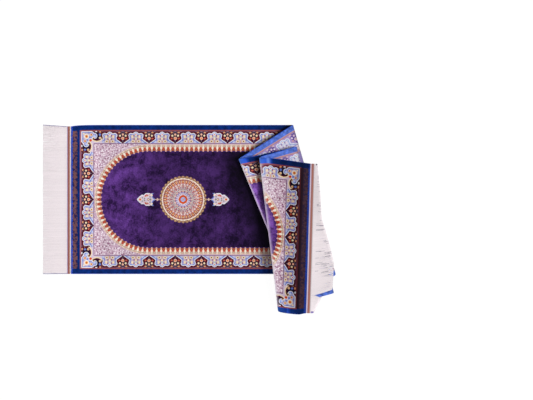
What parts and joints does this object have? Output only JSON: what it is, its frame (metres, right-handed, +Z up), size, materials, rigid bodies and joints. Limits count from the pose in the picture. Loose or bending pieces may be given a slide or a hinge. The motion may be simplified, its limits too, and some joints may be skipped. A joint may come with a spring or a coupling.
{
  "type": "folded runner rug",
  "caption": "Fringed runner rug with a medallion pattern, lying flat for half its length, with the rest folded back and forth over it in slanted layers.",
  "frame": {"origin": "centre of the whole rug's outline seen from above, fringes included, on the floor", "axes": "+X along the length of the part that lies flat, from its free fringed end towards the folds; +Y across its width, away from the side that the folded layers reach over; +Z up"},
  "size_m": [1.3166, 0.8458, 0.058],
  "materials": {
    "cut_pile": "short, dense, silky cut pile in navy, purple, maroon, rose, cream and pale blue, with a ribbed back",
    "flat_weave": "flat-woven band with a brown stripe between off-white ones",
    "fringe_yarn": "soft off-white yarn with little twist"
  },
  "bodies": {
    "root": {"rug_pile": "cut_pile", "end_band_left": "flat_weave", "end_band_right": "flat_weave", "fringe_left": "fringe_yarn", "fringe_right": "fringe_yarn"}
  },
  "joints": []
}
